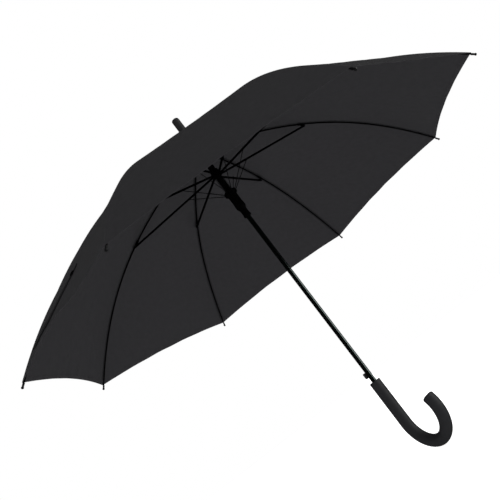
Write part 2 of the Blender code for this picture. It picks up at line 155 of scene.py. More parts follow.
def piece(name, mesh, body, finish, azimuth_turn=0.0):
    """A finished piece that rides on a body, with its material."""
    if azimuth_turn:
        mesh = mesh.copy()
        mesh.transform(Matrix.Rotation(azimuth_turn, 4, "Z"))
    made = bpy.data.objects.new(name, mesh)
    bpy.context.scene.collection.objects.link(made)
    mesh.materials.clear()
    mesh.materials.append(finish)
    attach(made, body)
    return made


def closed_mesh(bm, name, sharp=35):
    bmesh.ops.remove_doubles(bm, verts=bm.verts, dist=1e-7)
    bmesh.ops.recalc_face_normals(bm, faces=bm.faces)
    mesh = bpy.data.meshes.new(name)
    bm.to_mesh(mesh)
    bm.free()
    mesh.shade_smooth()
    mesh.set_sharp_from_angle(angle=math.radians(sharp))
    return mesh


def skin(bm, rings, closed=False):
    """Quads between rings of points, in order."""
    pairs = list(zip(rings, rings[1:]))
    if closed:
        pairs.append((rings[-1], rings[0]))
    for first, second in pairs:
        for i in range(max(len(first), len(second))):
            corners = [first[i % len(first)], first[(i + 1) % len(first)]]
            corners += [second[(i + 1) % len(second)], second[i % len(second)]]
            corners = list(dict.fromkeys(corners))
            if len(corners) > 2:
                bm.faces.new(corners)


def lathe(name, outline, segments=48, sharp=35):
    """A closed outline of (radius, height) turned about Z."""
    bm = bmesh.new()
    rings = []
    for radius, height in outline:
        count = segments if radius else 1
        turns = [2 * math.pi * i / segments for i in range(count)]
        rings.append([bm.verts.new((radius * math.cos(a), radius * math.sin(a), height)) for a in turns])
    skin(bm, rings, closed=True)
    return closed_mesh(bm, name, sharp)


def sweep(name, stations, outline, sharp=35):
    """The outline carried along a path. A station is (centre, side, up, scale)."""
    bm = bmesh.new()
    rings = []
    for centre, side, up, scale in stations:
        rings.append([bm.verts.new(centre + (side * a + up * b) * scale) for a, b in outline])
    skin(bm, rings)
    bm.faces.new(rings[0])
    bm.faces.new(rings[-1])
    return closed_mesh(bm, name, sharp)


def flat_path(points, scales=None):
    """Stations along (x, z) points in the XZ plane, each with a scale."""
    scales = scales or [1] * len(points)
    spots = [Vector((x, 0, z)) for x, z in points]
    stations = []
    for i, spot in enumerate(spots):
        along = (spots[min(i + 1, len(spots) - 1)] - spots[max(i - 1, 0)]).normalized()
        stations.append((spot, Vector((0, 1, 0)), along.cross(Vector((0, 1, 0))), scales[i]))
    return stations


def circle(radius, sides):
    turns = [2 * math.pi * (i + 0.5) / sides for i in range(sides)]
    return [(radius * math.cos(a), radius * math.sin(a)) for a in turns]


def block(low, high, bevel=0.0):
    """A box between two corners, its edges rounded by this much."""
    bm = bmesh.new()
    bmesh.ops.create_cube(bm, size=1)
    for vert in bm.verts:
        vert.co = Vector(low[i] + (vert.co[i] + 0.5) * (high[i] - low[i]) for i in range(3))
    if bevel:
        bmesh.ops.bevel(bm, geom=bm.edges[:], offset=bevel, segments=4, profile=0.5, affect="EDGES")
    return closed_mesh(bm, "block")


def side_disc(x, z, radius, side_from, side_to, sides=24, edge=0.0):
    """A disc in the XZ plane, as thick as from one side coordinate to the other, its rims rounded."""
    bm = bmesh.new()
    rings = []
    rims = [(side_from, radius - edge), (side_from + edge, radius)]
    rims += [(side_to - edge, radius), (side_to, radius - edge)]
    for y, size in rims:
        rings.append([bm.verts.new((x + a, y, z + b)) for a, b in circle(size, sides)])
    skin(bm, rings)
    bm.faces.new(rings[0])
    bm.faces.new(rings[-1])
    return closed_mesh(bm, "disc")


def boolean(base, operation, *tools):
    """The mesh after each tool is joined to the base or cut from it."""
    scene = bpy.context.scene.collection
    for tool in tools:
        body = bpy.data.objects.new("body", base)
        helper = bpy.data.objects.new("helper", tool)
        scene.objects.link(body)
        scene.objects.link(helper)
        modifier = body.modifiers.new("Boolean", "BOOLEAN")
        modifier.operation = operation
        modifier.solver = "EXACT"
        modifier.object = helper
        graph = bpy.context.evaluated_depsgraph_get()
        base = bpy.data.meshes.new_from_object(body.evaluated_get(graph))
        bpy.data.objects.remove(body)
        bpy.data.objects.remove(helper)
    base.shade_smooth()
    base.set_sharp_from_angle(angle=math.radians(35))
    return base


def around(part):
    """One mesh that holds the part once at each rib's azimuth, for use as a cutter."""
    bm = bmesh.new()
    for number in range(1, RIB_COUNT + 1):
        copy = part.copy()
        copy.transform(Matrix.Rotation(azimuth(number), 4, "Z"))
        bm.from_mesh(copy)
    mesh = bpy.data.meshes.new("cutters")
    bm.to_mesh(mesh)
    bm.free()
    return mesh


def raised(mesh, level):
    mesh.transform(Matrix.Translation((0, 0, level)))
    return mesh


# Materials


class Finish:
    """A Principled material whose colour, roughness and bump are built up from procedural textures."""

    def __init__(self, name, colour, roughness, **sockets):
        self.material = bpy.data.materials.new(name)
        self.material.use_nodes = True
        self.nodes = self.material.node_tree.nodes
        self.links = self.material.node_tree.links
        self.shader = self.nodes["Principled BSDF"]
        self.colour = colour
        self.shader.inputs["Base Color"].default_value = (*colour, 1)
        self.shader.inputs["Roughness"].default_value = roughness
        for socket, value in sockets.items():
            self.shader.inputs[socket.replace("_", " ")].default_value = value
        self.height = None

    def node(self, kind, **settings):
        made = self.nodes.new(kind)
        for key, value in settings.items():
            setattr(made, key, value)
        return made

    def place(self, source, scale):
        """Texture coordinates in metres, times the scale."""
        coordinates = self.node("ShaderNodeTexCoord")
        mapping = self.node("ShaderNodeMapping")
        mapping.inputs["Scale"].default_value = scale
        self.links.new(coordinates.outputs[source], mapping.inputs["Vector"])
        return mapping.outputs["Vector"]

    def noise(self, source, size, detail=3.0, stretch=(1, 1, 1)):
        """Noise whose lumps are about this size in metres."""
        texture = self.node("ShaderNodeTexNoise")
        texture.inputs["Scale"].default_value = 1
        texture.inputs["Detail"].default_value = detail
        self.links.new(self.place(source, [s / size for s in stretch]), texture.inputs["Vector"])
        return texture.outputs["Fac"]

    def waves(self, source, pitch, direction):
        """Parallel threads, one every pitch metres."""
        texture = self.node("ShaderNodeTexWave", wave_type="BANDS", bands_direction=direction)
        texture.inputs["Scale"].default_value = 0.314
        self.links.new(self.place(source, [1 / pitch] * 3), texture.inputs["Vector"])
        return texture.outputs["Fac"]

    def math(self, operation, *values):
        step = self.node("ShaderNodeMath", operation=operation)
        for socket, value in zip(step.inputs, values):
            if isinstance(value, (int, float)):
                socket.default_value = value
            else:
                self.links.new(value, socket)
        return step.outputs["Value"]

    def tint(self, fac, low, high):
        """Colour that goes with fac from low to high, as shares of the base colour."""
        ramp = self.node("ShaderNodeValToRGB")
        ramp.color_ramp.elements[0].position = 0.3
        ramp.color_ramp.elements[1].position = 0.7
        ramp.color_ramp.elements[0].color = (*[c * low for c in self.colour], 1)
        ramp.color_ramp.elements[1].color = (*[c * high for c in self.colour], 1)
        self.links.new(fac, ramp.inputs["Fac"])
        self.links.new(ramp.outputs["Color"], self.shader.inputs["Base Color"])

    def gloss(self, fac, low, high):
        spread = self.node("ShaderNodeMapRange")
        spread.inputs["From Min"].default_value = 0.3
        spread.inputs["From Max"].default_value = 0.7
        spread.inputs["To Min"].default_value = low
        spread.inputs["To Max"].default_value = high
        self.links.new(fac, spread.inputs["Value"])
        self.links.new(spread.outputs["Result"], self.shader.inputs["Roughness"])

    def relief(self, fac, depth):
        """Bump of this depth in metres, added to the ones before."""
        bump = self.node("ShaderNodeBump")
        bump.inputs["Strength"].default_value = 0.6
        bump.inputs["Distance"].default_value = depth
        self.links.new(fac, bump.inputs["Height"])
        if self.height:
            self.links.new(self.height, bump.inputs["Normal"])
        self.height = bump.outputs["Normal"]
        self.links.new(self.height, self.shader.inputs["Normal"])


def add_stitches(made, across, line, half_width, pitch):
    """A dashed row of stitches in the cloth's own coordinates: at this value of one axis, along the other."""
    coordinates = made.node("ShaderNodeTexCoord")
    split = made.node("ShaderNodeSeparateXYZ")
    made.links.new(coordinates.outputs["UV"], split.inputs["Vector"])
    other = "X" if across == "Y" else "Y"
    on_line = made.math("COMPARE", split.outputs[across], line, half_width)
    beat = made.math("FRACT", made.math("DIVIDE", split.outputs[other], pitch))
    dash = made.math("MULTIPLY", on_line, made.math("GREATER_THAN", beat, 0.3))
    made.relief(dash, 0.0004)


def cloth_finish(name, colour):
    """Tight plain weave, matt, with the faint unevenness of stretched pongee."""
    made = Finish(name, colour, 0.92, Specular_IOR_Level=0.03, Sheen_Weight=0.008)
    made.relief(made.waves("UV", 0.0007, "X"), 0.00006)
    made.relief(made.waves("UV", 0.0007, "Y"), 0.00006)
    made.relief(made.noise("UV", 0.05, 2), 0.0006)
    made.tint(made.noise("UV", 0.012, 4), 0.94, 1.06)
    made.gloss(made.noise("UV", 0.03, 2), 0.88, 0.96)
    add_stitches(made, "Y", RIM_RADIUS - HEM_WIDTH + 0.0016, 0.0004, 0.003)
    for side in (-1, 1):
        add_stitches(made, "X", side * 0.0042, 0.00035, 0.003)
    return made.material


def soft_touch_finish():
    """Rubber-like paint: very matt, finely pebbled."""
    made = Finish("soft_touch", (0.0142, 0.0144, 0.0160), 0.66, Specular_IOR_Level=0.12)
    made.relief(made.noise("Object", 0.0006, 2), 0.00008)
    made.relief(made.noise("Object", 0.009, 2), 0.0002)
    made.tint(made.noise("Object", 0.006, 4), 0.92, 1.08)
    made.gloss(made.noise("Object", 0.004, 3), 0.58, 0.70)
    return made.material


def lacquer_finish():
    """Gloss black paint on the steel tube, with a cool cast in its highlight."""
    made = Finish("gloss_lacquer", (0.0004, 0.0006, 0.0005), 0.15, Specular_IOR_Level=0.25)
    made.shader.inputs["Specular Tint"].default_value = (0.62, 0.80, 0.72, 1)
    made.gloss(made.noise("Object", 0.004, 4, (1, 1, 0.15)), 0.12, 0.18)
    made.relief(made.noise("Object", 0.003, 2, (1, 1, 0.3)), 0.00002)
    made.tint(made.noise("Object", 0.01, 3), 0.9, 1.1)
    return made.material


def frame_finish():
    """Dark electroplated steel of ribs and stretchers."""
    made = Finish("frame_black", (0.0004, 0.0004, 0.0005), 0.42, Specular_IOR_Level=0.01)
    made.gloss(made.noise("Object", 0.003, 4), 0.36, 0.50)
    made.relief(made.noise("Object", 0.0015, 3), 0.00003)
    made.tint(made.noise("Object", 0.008, 3), 0.85, 1.2)
    return made.material


def nylon_finish():
    """Moulded nylon with a faint spark-eroded grain."""
    made = Finish("moulded_nylon", (0.0005, 0.0005, 0.0006), 0.5, Specular_IOR_Level=0.015)
    made.relief(made.noise("Object", 0.0005, 2), 0.00005)
    made.gloss(made.noise("Object", 0.003, 3), 0.44, 0.56)
    made.tint(made.noise("Object", 0.005, 3), 0.9, 1.12)
    return made.material


def spring_finish():
    made = Finish("spring_steel", (0.0012, 0.0012, 0.0014), 0.4, Specular_IOR_Level=0.03)
    made.gloss(made.noise("Object", 0.002, 3), 0.32, 0.46)
    made.relief(made.noise("Object", 0.001, 2), 0.00002)
    made.tint(made.noise("Object", 0.004, 3), 0.85, 1.15)
    return made.material


def charcoal_finish(name, colour):
    """Moulded plastic a shade lighter than the runners."""
    made = Finish(name, colour, 0.6, Specular_IOR_Level=0.15)
    made.relief(made.noise("Object", 0.0006, 2), 0.00006)
    made.gloss(made.noise("Object", 0.003, 3), 0.54, 0.66)
    made.tint(made.noise("Object", 0.005, 3), 0.9, 1.12)
    return made.material


def thread_finish():
    """Black sewing thread."""
    made = Finish("sewing_thread", (0.0040, 0.0040, 0.0044), 0.9, Specular_IOR_Level=0.05)
    made.tint(made.noise("Object", 0.002, 3), 0.85, 1.15)
    made.relief(made.noise("Object", 0.0004, 2), 0.00004)
    return made.material


CLOTH_BLACK = cloth_finish("canopy_cloth", (0.0186, 0.0182, 0.0197))
TAPE_BLACK = cloth_finish("seam_tape", (0.0150, 0.0148, 0.0160))
# The closing strap's cloth is darker than the canopy's. This is painted shade, standing in for the shade on
# the strap's raised edge and underside.
STRAP_PAINTED_SHADE = cloth_finish("closing_strap", (0.0070, 0.0070, 0.0076))
SOFT_TOUCH = soft_touch_finish()
LACQUER = lacquer_finish()
FRAME_BLACK = frame_finish()
NYLON = nylon_finish()
SPRING = spring_finish()
CHARCOAL = charcoal_finish("button_charcoal", (0.0125, 0.0122, 0.0135))
CAP_BLACK = charcoal_finish("tip_black", (0.0035, 0.0035, 0.0039))
THREAD = thread_finish()


# Canopy


def cloth_point(gore, radius, turn, height):
    """A point of the cloth between rib gore and the next one.

    radius runs along the ribs, turn goes from 0 at the first rib to 1 at the second, and height is measured
    from the ribs' centre lines, square to the dome.
    """
    hollow = 4 * turn * (1 - turn)
    reach = CLOTH_HOLE + (radius - CLOTH_HOLE) * (1 - SCALLOP * hollow)
    slope = dome_slope(reach)
    lift = (height - SAG * reach * hollow + pull(gore, radius, turn)) / math.hypot(1, slope)
    ridge = Vector((reach + lift * slope, 0, dome(reach) + lift))
    first = Matrix.Rotation(azimuth(gore), 3, "Z") @ ridge
    second = Matrix.Rotation(azimuth(gore + 1), 3, "Z") @ ridge
    return first.lerp(second, turn)


def pull(gore, radius, turn):
    """Faint drawn lines in the stretched cloth, fanning out from the corners at the tips."""
    share = radius / RIM_RADIUS
    middle = math.sin(math.pi * turn) ** 2
    fan = math.cos(2 * math.pi * (turn - 0.5) * (5 + gore % 3) * (1.3 - 0.5 * share) + gore)
    flutter = math.sin(9 * share + 2.4 * gore) * math.cos(2 * math.pi * (turn - 0.5))
    billow = BILLOW * math.cos(math.pi * (turn - 0.2)) if gore == STRAP_GORE else 0
    return middle * (0.0010 * fan * share**3 + 0.0007 * flutter * share**2 + billow * share**2)


def cloth_normal(gore, radius, turn):
    """Outward normal of the cloth, from its own slopes."""
    step = 1e-4
    level = CLOTH_MIDDLE
    along = cloth_point(gore, radius + step, turn, level) - cloth_point(gore, radius - step, turn, level)
    across = cloth_point(gore, radius, turn + step, level) - cloth_point(gore, radius, turn - step, level)
    return along.cross(across).normalized()


def cloth_part(name, gore, radii, turns, top, bottom):
    """A closed sheet over this grid of the gore. top and bottom give the height of each face at a radius."""
    verts = []
    coords = []
    normals = []
    for level in (top, bottom):
        for radius in radii:
            for turn in turns:
                verts.append(cloth_point(gore, radius, turn, level(radius)))
                coords.append((turn * RIB_STEP * radius, radius))
                normals.append(cloth_normal(gore, radius, turn) * (1 if level is top else -1))
    rows = len(radii)
    columns = len(turns)
    sheet = rows * columns
    faces = []
    smooth = []
    for i in range(rows - 1):
        for j in range(columns - 1):
            a = i * columns + j
            faces.append((a, a + columns, a + columns + 1, a + 1))
            faces.append((sheet + a, sheet + a + 1, sheet + a + columns + 1, sheet + a + columns))
            smooth += [True, True]
    border = [(i * columns) for i in range(rows)]
    border += [(rows - 1) * columns + j for j in range(1, columns)]
    border += [i * columns + columns - 1 for i in range(rows - 2, -1, -1)]
    border += list(range(columns - 2, 0, -1))
    for a, b in zip(border, border[1:] + border[:1]):
        faces.append((b, a, sheet + a, sheet + b))
        smooth.append(False)
    mesh = bpy.data.meshes.new(name)
    mesh.from_pydata(verts, [], faces)
    mesh.update()
    layer = mesh.uv_layers.new(name="UVMap")
    split = []
    for face, is_sheet in zip(mesh.polygons, smooth):
        face.use_smooth = True
        for loop in face.loop_indices:
            vert = mesh.loops[loop].vertex_index
            layer.data[loop].uv = coords[vert]
            split.append(normals[vert] if is_sheet else face.normal.copy())
    mesh.normals_split_custom_set(split)
    return mesh


def steps(start, end, count):
    return [start + (end - start) * i / count for i in range(count + 1)]


INNER_RADII = steps(CLOTH_HOLE, BRACKET_RADIUS, 18)
HEM_START = RIM_RADIUS - HEM_WIDTH
OUTER_RADII = steps(BRACKET_RADIUS, HEM_START - 0.0006, 22) + [HEM_START, RIM_RADIUS - 0.0035, RIM_RADIUS]


def cloth_top(radius):
    return CLOTH_MIDDLE + CLOTH / 2


def cloth_under(radius):
    fold = HEM_FOLD if radius >= HEM_START - 1e-6 else 0
    return CLOTH_MIDDLE - CLOTH / 2 - fold


def fold_cloth(made):
    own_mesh(made)


def add_canopy():
    """Eight gores, each in four parts: a half for each of its two ribs, split at the ribs' brackets."""
    half = 12
    for gore in range(1, RIB_COUNT + 1):
        for side, turns in ((1, steps(0, 0.5, half)), (-1, steps(0.5, 1, half))):
            number = gore if side > 0 else rib_after(gore)
            word = "first" if side > 0 else "second"
            for part, radii, body in (("inner", INNER_RADII, "rib"), ("outer", OUTER_RADII, "rib_end")):
                name = f"gore_{gore}_{word}_{part}"
                mesh = cloth_part(name, gore, radii, turns, cloth_top, cloth_under)
                made = piece(name, mesh, f"{body}_{number}", CLOTH_BLACK)
                if part == "inner" and side > 0:
                    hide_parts(f"canopy_panel_{number}")
                fold_cloth(made)


def add_seam_tapes():
    """The folded seam allowance under each seam: a strip between the cloth and the rib."""
    under = CLOTH_MIDDLE - CLOTH / 2 - 0.00003
    for number in range(1, RIB_COUNT + 1):
        for part, radii, body in (
            ("inner", steps(CLOTH_HOLE + 0.004, BRACKET_RADIUS, 16), "rib"),
            ("outer", steps(BRACKET_RADIUS, HEM_START - 0.001, 20), "rib_end"),
        ):
            name = f"seam_tape_{number}_{part}"
            bm = bmesh.new()
            rings = []
            coords = {}
            for radius in radii:
                chord = 2 * radius * math.sin(RIB_STEP / 2)
                edge = min(0.3, TAPE_HALF_WIDTH / chord)
                spots = [(rib_before(number), 1 - edge), (rib_before(number), 1 - edge / 2), (number, 0)]
                spots += [(number, edge / 2), (number, edge)]
                ring = [cloth_point(gore, radius, turn, under) for gore, turn in spots]
                ring += [cloth_point(gore, radius, turn, under - TAPE) for gore, turn in reversed(spots)]
                rings.append([bm.verts.new(point) for point in ring])
                lateral = [i * TAPE_HALF_WIDTH / 2 for i in (-2, -1, 0, 1, 2, 2, 1, 0, -1, -2)]
                coords.update({vert: (offset, radius) for vert, offset in zip(rings[-1], lateral)})
            skin(bm, rings)
            bm.faces.new(rings[0])
            bm.faces.new(rings[-1])
            layer = bm.loops.layers.uv.new("UVMap")
            for face in bm.faces:
                for loop in face.loops:
                    loop[layer].uv = coords[loop.vert]
            mesh = closed_mesh(bm, name, 30)
            made = piece(name, mesh, f"{body}_{number}", TAPE_BLACK)


def strap_place(turn):
    """Distance along the ribs of the strap's middle line, and its height above the ribs' centre lines."""
    share = (turn - STRAP_START) / (STRAP_END - STRAP_START)
    radius = STRAP_RADIUS + 0.030 * math.sin(0.85 * math.pi * share) - 0.034 * share**6
    return radius, CLOTH_MIDDLE + CLOTH / 2 + 0.0004 + 0.0006 * math.sin(math.pi * share) ** 2


def add_closing_strap():
    """Narrow strap sewn to a seam outside, hanging across the gore, with a press stud near its free end."""
    gore = STRAP_GORE
    bm = bmesh.new()
    rings = []
    for turn in steps(STRAP_START, STRAP_END, 36):
        radius, lift = strap_place(turn)
        half = STRAP_WIDTH / 2 / math.hypot(1, dome_slope(radius)) * min(1, 0.55 + (STRAP_END - turn) * 12)
        low = [cloth_point(gore, radius + half * side, turn, lift) for side in (-1, -0.5, 0, 0.5, 1)]
        high = [cloth_point(gore, radius + half * side, turn, lift + STRAP) for side in (1, 0.5, 0, -0.5, -1)]
        rings.append([bm.verts.new(point) for point in low + high])
    skin(bm, rings)
    bm.faces.new(rings[0])
    bm.faces.new(rings[-1])
    mesh = closed_mesh(bm, "closing_strap", 50)
    strap = piece("closing_strap", mesh, f"rib_end_{gore}", STRAP_PAINTED_SHADE)
    fold_cloth(strap)
    turn = STRAP_END - 0.025
    radius, lift = strap_place(turn)
    spot = cloth_point(gore, radius, turn, lift + STRAP)
    outward = (cloth_point(gore, radius, turn, lift + 2 * STRAP) - spot).normalized()
    outline = [(0, 0), (0.0052, 0), (0.0055, 0.0004), (0.0053, 0.0010), (0.0044, 0.0017), (0.0025, 0.0021)]
    outline.append((0, 0.0022))
    stud = lathe("press_stud", outline, 32, 50)
    stud.transform(outward.to_track_quat("Z", "Y").to_matrix().to_4x4())
    stud.transform(Matrix.Translation(spot + outward * 0.0001))
    stud = piece("press_stud", stud, f"rib_end_{gore}", NYLON)
    fold_cloth(stud)


# Ribs


def add_ribs():
    """Round rod from crown to bracket, a tapered rod on from the bracket to the tip, and a cap over its end.
    """
    start = CROWN_PIVOT_RADIUS + 0.0018
    end = BRACKET_RADIUS - 0.0022
    rod_points = [(r, dome(r)) for r in steps(start, end, 20)]
    rod = sweep("rib_rod", flat_path(rod_points), circle(RIB_WIRE, 14), 50)
    far = RIM_RADIUS + 0.003
    radii = [BRACKET_RADIUS - 0.0014] + steps(BRACKET_RADIUS, far, 26)
    scales = [0.6] + [1 - (1 - TIP_WIRE / RIB_WIRE) * i / 26 for i in range(27)]
    tail = sweep("rib_tail", flat_path([(r, rib_level(r)) for r in radii], scales), circle(RIB_WIRE, 14), 50)
    cap = tip_cap()
    for number in range(1, RIB_COUNT + 1):
        turn = azimuth(number)
        made = piece(f"rib_rod_{number}", rod, f"rib_{number}", FRAME_BLACK, turn)
        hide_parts(f"rib_inner_{number}")
        made = piece(f"rib_tail_{number}", tail, f"rib_end_{number}", FRAME_BLACK, turn)
        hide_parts(f"rib_outer_{number}")
        made = piece(f"tip_cap_{number}", cap, f"rib_end_{number}", CAP_BLACK, turn)
        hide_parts(f"rib_tip_{number}")


def tip_cap():
    """Moulded cup with a small round head, over the end of the rib."""
    bore = TIP_WIRE + 0.0002
    outline = [(bore, 0), (0.0023, 0), (0.0024, 0.0004), (0.0021, 0.0076), (0.0023, 0.0084)]
    for i in range(9):
        turn = math.radians(-35 + 125 * i / 8)
        outline.append((max(0, 0.0030 * math.cos(turn)), 0.0094 + 0.0026 * math.sin(turn)))
    outline += [(0, 0.006), (bore, 0.006)]
    mesh = lathe("tip_cap", outline, 20, 50)
    mesh.transform(Matrix.Rotation(math.pi / 2 + math.atan(dome_slope(RIM_RADIUS)), 4, "Y"))
    mesh.transform(Matrix.Translation((RIM_RADIUS, 0, RIM_HEIGHT)))
    return mesh


def add_rib_fittings():
    """An eye at the crown, a folded clip with a rivet at the bracket, and thread that ties the cloth on."""
    eye = boolean(
        side_disc(CROWN_PIVOT_RADIUS, CROWN_LEVEL, 0.0026, -0.0012, 0.0012, 28, 0.0003),
        "DIFFERENCE",
        side_disc(CROWN_PIVOT_RADIUS, CROWN_LEVEL, 0.0011, -0.01, 0.01, 20),
    )
    clip = rib_clip()
    rivet_radius = BRACKET_RADIUS - 0.0060
    rivet = side_disc(rivet_radius, dome(rivet_radius) - 0.0036, 0.0011, -0.0027, 0.00235, 20, 0.0002)
    knot_radii = (0.115, 0.205, 0.36, 0.47)
    knots = [thread_knot(radius) for radius in knot_radii]
    for number in range(1, RIB_COUNT + 1):
        turn = azimuth(number)
        piece(f"rib_eye_{number}", eye, f"rib_{number}", FRAME_BLACK, turn)
        piece(f"rib_clip_{number}", clip, f"rib_{number}", FRAME_BLACK, turn)
        piece(f"clip_rivet_{number}", rivet, f"rib_{number}", SPRING, turn)
        for i, knot in enumerate(knots):
            body = "rib" if knot_radii[i] < BRACKET_RADIUS else "rib_end"
            piece(f"thread_knot_{number}_{i + 1}", knot, f"{body}_{number}", THREAD, turn)


def rib_clip():
    """Steel strip folded over the rod, with two ears that hang down at the stretcher."""
    outer = 0.0022
    inner = 0.0018
    roof = 0.0022
    bm = bmesh.new()
    rings = []
    start = BRACKET_RADIUS - 0.0165
    for offset, leg in ((0, 0.0014), (0.0006, 0.0019), (0.0055, 0.0021), (0.0075, 0.0048), (0.0084, 0.0054)):
        rings.append((start + offset, leg))
    rings += [(BRACKET_RADIUS - 0.0036, 0.0054), (BRACKET_RADIUS - 0.0028, 0.0046)]
    sections = []
    for radius, leg in rings:
        outline = [(-outer, -leg), (-outer, roof - 0.0005), (-outer + 0.0005, roof), (outer - 0.0005, roof)]
        outline += [(outer, roof - 0.0005), (outer, -leg), (inner, -leg), (inner, roof - 0.0006)]
        outline += [(inner - 0.0003, roof - 0.0004), (-inner + 0.0003, roof - 0.0004)]
        outline += [(-inner, roof - 0.0006), (-inner, -leg)]
        sections.append([bm.verts.new((radius, y, dome(radius) + z)) for y, z in outline])
    skin(bm, sections)
    bm.faces.new(sections[0])
    bm.faces.new(sections[-1])
    return closed_mesh(bm, "rib_clip")


def thread_knot(radius):
    """Two turns of thread round the rib, as one ring."""
    size = 0.00215
    thread = 0.00028
    scale = 1 if radius < BRACKET_RADIUS else 0.96
    outline = [(size * scale + a, b) for a, b in circle(thread, 8)]
    ring = lathe("thread_knot", outline, 20)
    ring.transform(Matrix.Rotation(math.pi / 2 + math.atan(dome_slope(radius)), 4, "Y"))
    ring.transform(Matrix.Translation((radius, 0, dome(radius))))
    return ring


# Stretchers, links, runners, spring and button


def stretcher_direction():
    """From the upper runner's pivot to the bracket's, as (radius, height)."""
    return Vector((BRACKET_RADIUS - UPPER_PIVOT_RADIUS, BRACKET_LEVEL - BRACKET_DROP - UPPER_LEVEL))


def add_stretchers():
    """Steel channel open downwards with rounded shoulders, round flattened ends and rivet heads."""
    direction = stretcher_direction()
    length = direction.length
    wide = STRETCHER_HALF_WIDTH
    tall = STRETCHER_HALF_HEIGHT
    wall = 0.0006
    shoulder = 0.0008
    round_off = 0.00025
    outer = [(-wide, -tall), (-wide, tall - shoulder), (-wide + round_off, tall - round_off)]
    outer.append((-wide + shoulder, tall))
    outer += [(-a, b) for a, b in reversed(outer)]
    inside = wide - wall
    inner = [(inside, -tall), (inside, tall - wall), (-inside, tall - wall), (-inside, -tall)]
    bar = sweep("stretcher", flat_path([(0.0012, 0), (length - 0.0015, 0)]), outer + inner, 30)
    near_end = side_disc(0, 0, tall, -wide, wide, 28, 0.0003)
    far_end = side_disc(length, 0, 0.003, -wide, wide, 32, 0.0003)
    rivet = side_disc(length, 0, 0.0016, wide - 0.0005, wide + 0.0007, 20, 0.0003)
    link_head = side_disc(LINK_REACH, 0, 0.0016, wide - 0.0003, wide + 0.0006, 20, 0.0003)
    hole = side_disc(LINK_REACH, 0, 0.0012, -0.01, 0, 20)
    arm = boolean(boolean(bar, "UNION", near_end, far_end, rivet, link_head), "DIFFERENCE", hole)
    arm.transform(Matrix.Translation((0, STRETCHER_SIDE, 0)))
    arm.transform(Matrix.Rotation(-math.atan2(direction.y, direction.x), 4, "Y"))
    arm.transform(Matrix.Translation((UPPER_PIVOT_RADIUS, 0, UPPER_LEVEL)))
    start = Vector((UPPER_PIVOT_RADIUS, UPPER_LEVEL))
    top = start + direction.normalized() * LINK_REACH
    foot = Vector((LOWER_PIVOT_RADIUS, LOWER_LEVEL))
    rod = sweep("link", flat_path([tuple(top), tuple(foot)]), circle(LINK_WIRE, 14))
    lower_eye = side_disc(foot.x, foot.y, 0.0016, -LINK_WIRE, LINK_WIRE, 20, 0.0003)
    upper_eye = side_disc(top.x, top.y, 0.0016, -LINK_WIRE, LINK_WIRE, 20, 0.0003)
    stub = side_disc(top.x, top.y, 0.0008, 0, STRETCHER_SIDE, 16)
    wire = boolean(rod, "UNION", lower_eye, upper_eye, stub)
    for number in range(1, RIB_COUNT + 1):
        turn = azimuth(number)
        body = f"stretcher_{number}"
        made = piece(f"stretcher_arm_{number}", arm, body, FRAME_BLACK, turn)
        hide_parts(body)
        made = piece(f"link_wire_{number}", wire, f"link_{number}", SPRING, turn)
        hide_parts(f"link_{number}")


def add_upper_runner():
    """Castellated hub with a collar above, on the tube that guides the lower runner."""
    bore = SHAFT + RUNNING_GAP
    outline = [(bore, -0.084), (UPPER_TUBE - 0.0003, -0.084), (UPPER_TUBE, -0.0837), (UPPER_TUBE, -0.0065)]
    outline += [(0.0100, -0.0060), (0.0137, -0.0049), (0.0142, -0.0044), (0.0144, -0.0036), (0.0144, 0.0036)]
    outline += [(0.0142, 0.0044), (0.0137, 0.0049), (0.0116, 0.0058), (0.0112, 0.0064), (0.0110, 0.0124)]
    outline += [(0.0106, 0.0132), (0.0095, 0.0140), (0.0080, 0.0146), (0.0077, 0.0152), (0.0077, 0.0232)]
    outline += [(0.0080, 0.0236), (0.0083, 0.0240), (0.0083, 0.0260), (0.0081, 0.0265), (0.0077, 0.0268)]
    outline.append((bore, 0.0268))
    clear = STRETCHER_HALF_WIDTH + 0.0004
    floor = UPPER_PIVOT_RADIUS - 0.0028
    slot = block((floor, STRETCHER_SIDE - clear, -0.007), (0.03, STRETCHER_SIDE + clear, 0.0155))
    link_slot = block((0.0123, -0.0014, -0.008), (0.03, STRETCHER_SIDE, 0.009))
    hub = boolean(lathe("upper_hub", outline, 96), "DIFFERENCE", around(slot), around(link_slot))
    made = piece("upper_hub", raised(hub, UPPER_LEVEL), "upper_runner", NYLON)
    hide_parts("upper_runner")


